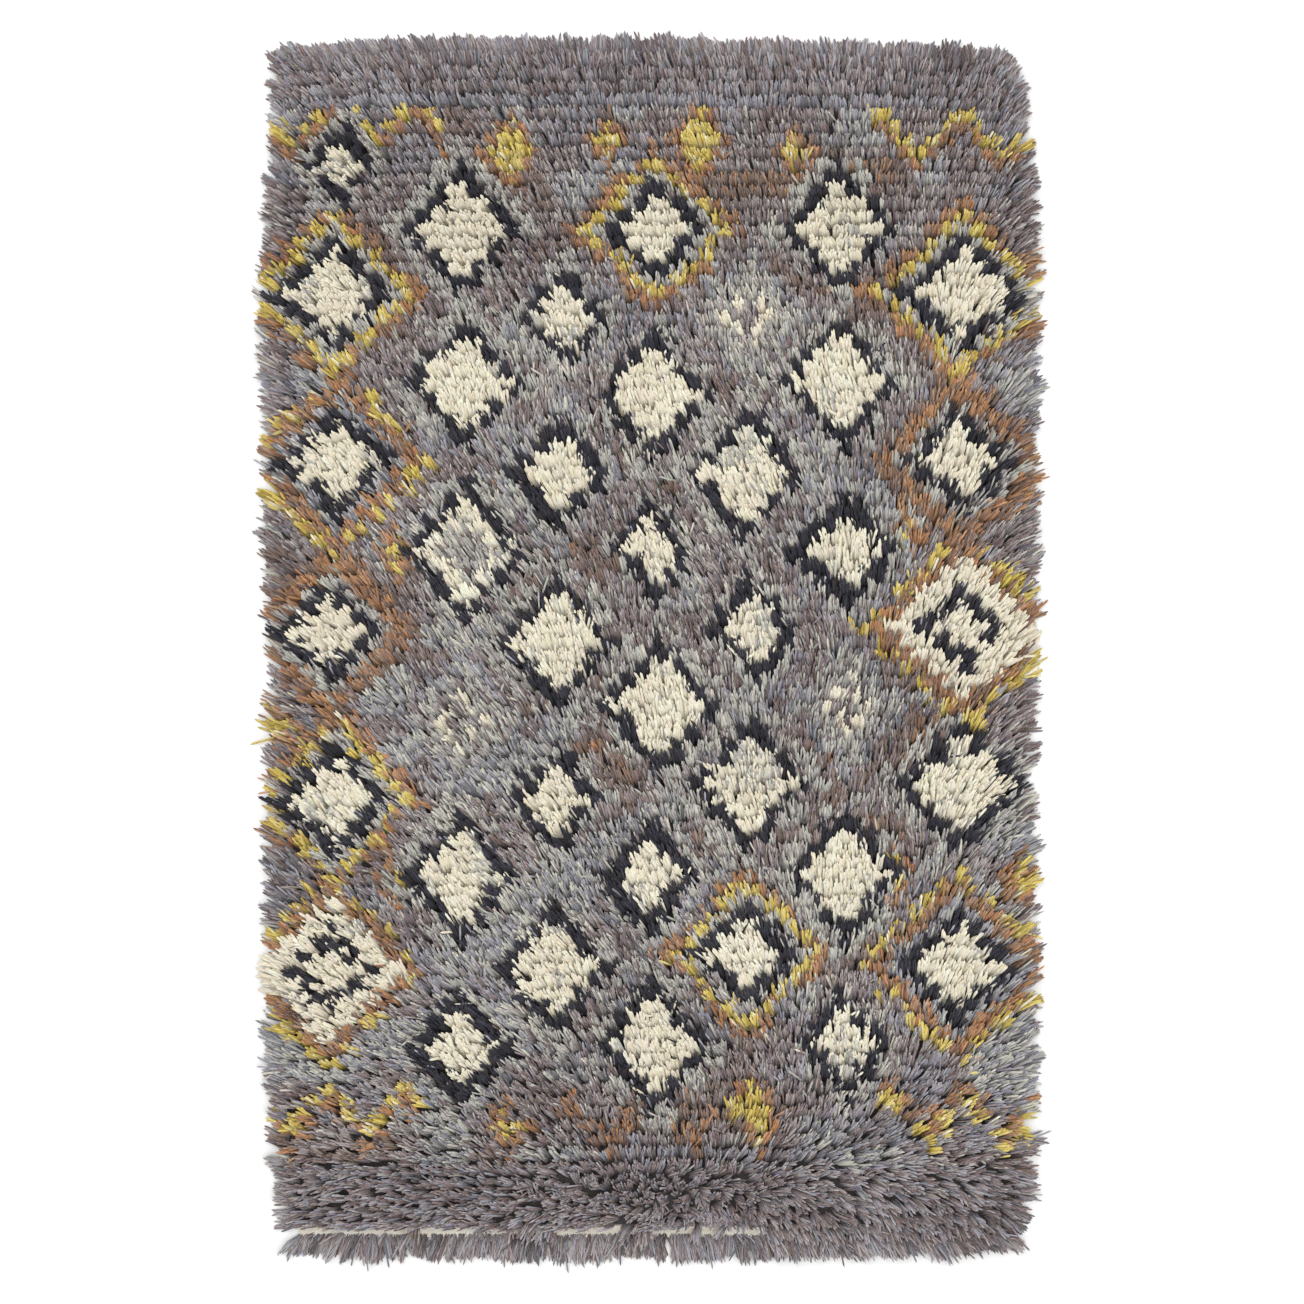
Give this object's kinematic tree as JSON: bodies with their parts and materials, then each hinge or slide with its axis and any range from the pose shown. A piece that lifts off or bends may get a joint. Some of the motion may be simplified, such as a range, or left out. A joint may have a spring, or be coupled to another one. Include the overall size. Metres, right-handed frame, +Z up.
{
  "type": "rya rug",
  "caption": "Flat rectangular rya rug with a long, dense knotted wool pile on a woven ground, an uneven tufted outline and a strip of bare weave near one end.",
  "frame": {"origin": "centre of the underside, on the floor", "axes": "+Z up out of the pile, +Y along the rug from the foot end with the bare weave strip to the head end, +X across the rug"},
  "size_m": [1.2098, 1.8916, 0.0275],
  "materials": {
    "wool_pile": "long knotted wool pile of mixed yarns in blue-grey, brown-grey, pale stone, cream, near black, mustard and rust"
  },
  "bodies": {
    "root": {"rug": "wool_pile"}
  },
  "joints": []
}
